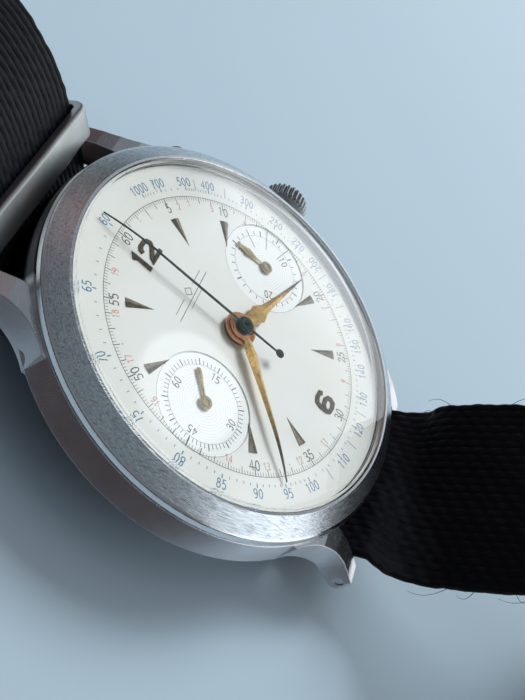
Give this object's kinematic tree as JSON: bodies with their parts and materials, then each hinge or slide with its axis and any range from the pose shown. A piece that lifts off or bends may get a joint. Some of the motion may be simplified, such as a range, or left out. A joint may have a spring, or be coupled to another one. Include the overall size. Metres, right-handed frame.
{
  "type": "chronograph wristwatch",
  "caption": "Round steel hand-wound chronograph wristwatch: domed crystal, silvered two-register dial, gilt hands, working movement and ribbed nylon pull-through strap.",
  "frame": {"origin": "centre of the flat underside of the strap below the case, on the surface that the watch lies on", "axes": "+Z out of the dial, +Y towards 12 o'clock along the strap, +X towards the crown at 3 o'clock"},
  "size_m": [0.041, 0.2532, 0.0269],
  "materials": {
    "brushed_steel": "satin with polished edges, finely scratched",
    "buckle_steel": "brushed",
    "movement_steel": "polished and grained steel",
    "spring_steel": "blued-grey spring steel",
    "blued_steel": "dark blued steel",
    "plexi": "clear domed acrylic",
    "gasket_rubber": "matt black",
    "movement_brass": "gilt brass",
    "plate_gilt": "grained nickel-gilt plate",
    "nylon_strap": "black ribbed nylon weave",
    "ruby": "synthetic ruby",
    "silver_dial": "silvered satin dial with printed scales",
    "gilt_hands": "gilt, faceted"
  },
  "bodies": {
    "case": {"mid_case": "brushed_steel", "bezel": "brushed_steel", "crystal": "plexi", "case_back": "brushed_steel", "back_gasket": "gasket_rubber", "movement_ring": "movement_brass", "case_tubes": "movement_brass", "spring_bars": "movement_steel", "strap": "nylon_strap", "buckle_bar": "buckle_steel", "main_plate": "plate_gilt", "barrel_bridge": "plate_gilt", "train_bridge": "plate_gilt", "balance_cock": "plate_gilt", "chrono_bridge": "plate_gilt", "bridge_screws": "blued_steel", "jewels": "ruby", "dial": "silver_dial", "mainspring": "spring_steel", "start_spring": "movement_steel", "reset_spring": "movement_steel"},
    "keeper": {"strap_keeper": "brushed_steel"},
    "buckle": {"buckle_frame": "buckle_steel"},
    "tang": {"buckle_tang": "buckle_steel"},
    "clutch": {"sliding_pinion": "movement_steel"},
    "crown_stem": {"crown": "brushed_steel", "winding_stem": "movement_steel"},
    "winding_pinion": {"winding_pinion": "movement_steel"},
    "crown_wheel": {"crown_wheel": "movement_steel"},
    "winding_idler": {"winding_idler": "movement_steel"},
    "ratchet": {"ratchet_wheel": "movement_steel", "barrel_arbor": "movement_steel"},
    "click": {"click": "movement_steel"},
    "start_button": {"start_pusher": "brushed_steel"},
    "reset_button": {"reset_pusher": "brushed_steel"},
    "setting_lever": {"setting_lever": "movement_steel"},
    "yoke": {"yoke": "movement_steel"},
    "barrel": {"barrel_drum": "movement_brass", "barrel_cover": "movement_brass"},
    "center": {"center_wheel": "movement_brass", "cannon_pinion": "movement_steel", "minute_hand": "gilt_hands"},
    "third": {"third_wheel": "movement_brass"},
    "fourth": {"fourth_wheel": "movement_brass", "seconds_hand": "gilt_hands"},
    "escape": {"escape_wheel": "movement_steel"},
    "pallets": {"pallet_fork": "movement_steel"},
    "balance": {"balance_wheel": "movement_brass", "hairspring": "blued_steel"},
    "minute_work": {"minute_wheel": "movement_brass"},
    "hour": {"hour_wheel": "movement_brass", "hour_hand": "gilt_hands"},
    "column": {"column_wheel": "movement_steel"},
    "chrono": {"chrono_runner": "movement_steel", "chrono_hand": "blued_steel"},
    "counter": {"minute_counter": "movement_steel", "counter_hand": "gilt_hands"},
    "coupler": {"coupling_lever": "movement_steel"},
    "coupling": {"coupling_wheel": "movement_brass"},
    "hammer": {"reset_hammer": "movement_steel"}
  },
  "joints": [
    {"name": "crown_turn", "type": "hinge", "parent": "case", "child": "clutch", "pos_m": [0.012, 0, 0.0063], "axis": [1, 0, 0], "continuous": true},
    {"name": "crown_pull", "type": "slide", "parent": "clutch", "child": "crown_stem", "axis": [1, 0, 0], "range_m": [0, 0.001]},
    {"name": "winding_pinion_turn", "type": "hinge", "parent": "case", "child": "winding_pinion", "pos_m": [0.012, 0, 0.0063], "axis": [1, 0, 0], "continuous": true},
    {"name": "crown_wheel_turn", "type": "hinge", "parent": "case", "child": "crown_wheel", "pos_m": [0.0117, 0, 0.0051], "axis": [0, 0, 1], "continuous": true},
    {"name": "winding_idler_turn", "type": "hinge", "parent": "case", "child": "winding_idler", "pos_m": [0.01049, 0.00339, 0.0051], "axis": [0, 0, 1], "continuous": true},
    {"name": "ratchet_turn", "type": "hinge", "parent": "case", "child": "ratchet", "pos_m": [0.00444, 0.00476, 0.0051], "axis": [0, 0, 1], "continuous": true},
    {"name": "click_swing", "type": "hinge", "parent": "case", "child": "click", "pos_m": [-0.0026, 0.0066, 0.0051], "axis": [0, 0, 1], "range_deg": [0, 4]},
    {"name": "start_press", "type": "slide", "parent": "case", "child": "start_button", "axis": [-0.788, -0.6157, 0], "range_m": [0, 0.0006], "stiffness_N_per_m": 800},
    {"name": "reset_press", "type": "slide", "parent": "case", "child": "reset_button", "axis": [-0.788, 0.6157, 0], "range_m": [0, 0.0006], "stiffness_N_per_m": 800},
    {"name": "setting_lever_swing", "type": "hinge", "parent": "case", "child": "setting_lever", "pos_m": [0.0111, 0.0028, 0.0051], "axis": [0, 0, 1], "range_deg": [-6, 6]},
    {"name": "yoke_swing", "type": "hinge", "parent": "case", "child": "yoke", "pos_m": [0.0092, -0.0046, 0.0051], "axis": [0, 0, 1], "range_deg": [-4, 4]},
    {"name": "keeper_slide", "type": "slide", "parent": "case", "child": "keeper", "axis": [0, 0.7071, 0.7071], "range_m": [0, 0.003]},
    {"name": "buckle_hinge", "type": "hinge", "parent": "case", "child": "buckle", "pos_m": [0, 0.093, 0.00183], "axis": [1, 0, 0], "range_deg": [-25, 0]},
    {"name": "tang_hinge", "type": "hinge", "parent": "case", "child": "tang", "pos_m": [0, 0.093, 0.00183], "axis": [1, 0, 0], "range_deg": [0, 70]},
    {"name": "seconds_turn", "type": "hinge", "parent": "case", "child": "fourth", "pos_m": [-0.0086, 0, 0.0051], "axis": [0, 0, -1], "continuous": true},
    {"name": "third_turn", "type": "hinge", "parent": "case", "child": "third", "pos_m": [-0.0053, 0.0029, 0.0051], "axis": [0, 0, -1], "continuous": true},
    {"name": "minutes_turn", "type": "hinge", "parent": "case", "child": "center", "pos_m": [0, 0, 0.0051], "axis": [0, 0, -1], "continuous": true},
    {"name": "barrel_turn", "type": "hinge", "parent": "case", "child": "barrel", "pos_m": [0.00444, 0.00476, 0.0051], "axis": [0, 0, -1], "continuous": true},
    {"name": "escape_turn", "type": "hinge", "parent": "case", "child": "escape", "pos_m": [-0.00797, -0.00357, 0.0051], "axis": [0, 0, -1], "continuous": true},
    {"name": "minute_work_turn", "type": "hinge", "parent": "case", "child": "minute_work", "pos_m": [0.0024, -0.00416, 0.0051], "axis": [0, 0, -1], "continuous": true},
    {"name": "hours_turn", "type": "hinge", "parent": "case", "child": "hour", "pos_m": [0, 0, 0.0051], "axis": [0, 0, -1], "continuous": true},
    {"name": "pallet_swing", "type": "hinge", "parent": "case", "child": "pallets", "pos_m": [-0.00616, -0.00584, 0.0051], "axis": [0, 0, 1], "range_deg": [-3, 3]},
    {"name": "balance_swing", "type": "hinge", "parent": "case", "child": "balance", "pos_m": [-0.0034, -0.0093, 0.0051], "axis": [0, 0, 1], "range_deg": [-270, 270]},
    {"name": "column_turn", "type": "hinge", "parent": "case", "child": "column", "pos_m": [0.0089, -0.0075, 0.0051], "axis": [0, 0, 1], "continuous": true},
    {"name": "chrono_turn", "type": "hinge", "parent": "case", "child": "chrono", "pos_m": [0, 0, 0.0051], "axis": [0, 0, -1], "continuous": true},
    {"name": "counter_turn", "type": "hinge", "parent": "case", "child": "counter", "pos_m": [0.0086, 0, 0.0051], "axis": [0, 0, -1], "continuous": true},
    {"name": "coupler_swing", "type": "hinge", "parent": "case", "child": "coupler", "pos_m": [-0.0086, 0, 0.0051], "axis": [0, 0, 1], "range_deg": [-2, 0]},
    {"name": "coupling_turn", "type": "hinge", "parent": "coupler", "child": "coupling", "pos_m": [-0.00435, 0.00134, 0.0051], "axis": [0, 0, -1], "continuous": true},
    {"name": "hammer_swing", "type": "hinge", "parent": "case", "child": "hammer", "pos_m": [0.0124, -0.0046, 0.0051], "axis": [0, 0, 1], "range_deg": [-2.5, 0]}
  ],
  "couplings": [
    {"joint": "winding_pinion_turn", "follows": "crown_turn", "ratio": 1},
    {"joint": "crown_wheel_turn", "follows": "crown_turn", "ratio": -0.8},
    {"joint": "winding_idler_turn", "follows": "crown_turn", "ratio": 0.88889},
    {"joint": "ratchet_turn", "follows": "crown_turn", "ratio": -0.33333},
    {"joint": "third_turn", "follows": "seconds_turn", "ratio": -0.13333},
    {"joint": "minutes_turn", "follows": "seconds_turn", "ratio": 0.016667},
    {"joint": "barrel_turn", "follows": "seconds_turn", "ratio": -0.0027778},
    {"joint": "escape_turn", "follows": "seconds_turn", "ratio": -10},
    {"joint": "minute_work_turn", "follows": "seconds_turn", "ratio": -0.0055556},
    {"joint": "hours_turn", "follows": "seconds_turn", "ratio": 0.0013889},
    {"joint": "counter_turn", "follows": "chrono_turn", "ratio": 0.033333},
    {"joint": "coupling_turn", "follows": "seconds_turn", "ratio": -2.7119}
  ]
}
